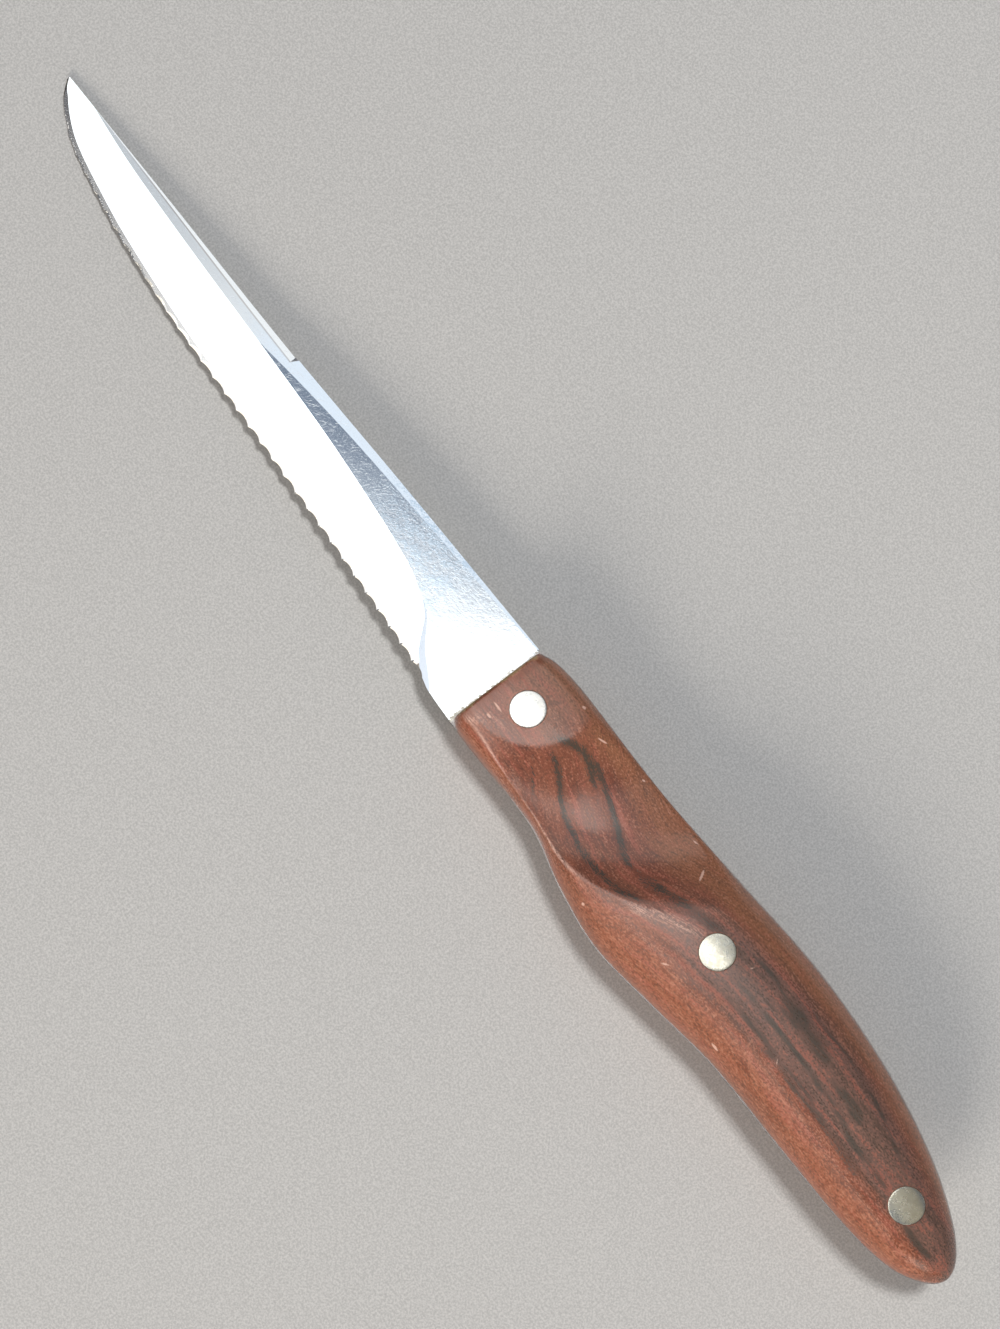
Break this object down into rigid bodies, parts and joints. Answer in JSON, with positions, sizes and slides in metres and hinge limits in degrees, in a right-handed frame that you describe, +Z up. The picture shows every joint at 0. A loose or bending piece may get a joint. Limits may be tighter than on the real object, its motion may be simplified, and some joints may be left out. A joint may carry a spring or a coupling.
{
  "type": "slicing knife",
  "caption": "Fixed-blade slicing knife with a scalloped steel edge, full tang, sculpted wooden scales with a thumb hollow and flush compression rivets, lying on its side.",
  "frame": {"origin": "middle of the bounding box on the surface that the knife lies on", "axes": "+X along the knife to the tip of the blade, +Y to the cutting edge, +Z up out of the upper scale"},
  "size_m": [0.2406, 0.0256, 0.02],
  "materials": {
    "blade_steel": "polished, with fine scratches",
    "scale_wood": "worn satin",
    "rivet_metal": "satin"
  },
  "bodies": {
    "root": {"blade_and_tang": "blade_steel", "scale_upper": "scale_wood", "scale_lower": "scale_wood", "front_rivet_stud": "rivet_metal", "front_rivet_barrel": "rivet_metal", "middle_rivet_stud": "rivet_metal", "middle_rivet_barrel": "rivet_metal", "butt_rivet_stud": "rivet_metal", "butt_rivet_barrel": "rivet_metal"}
  },
  "joints": []
}
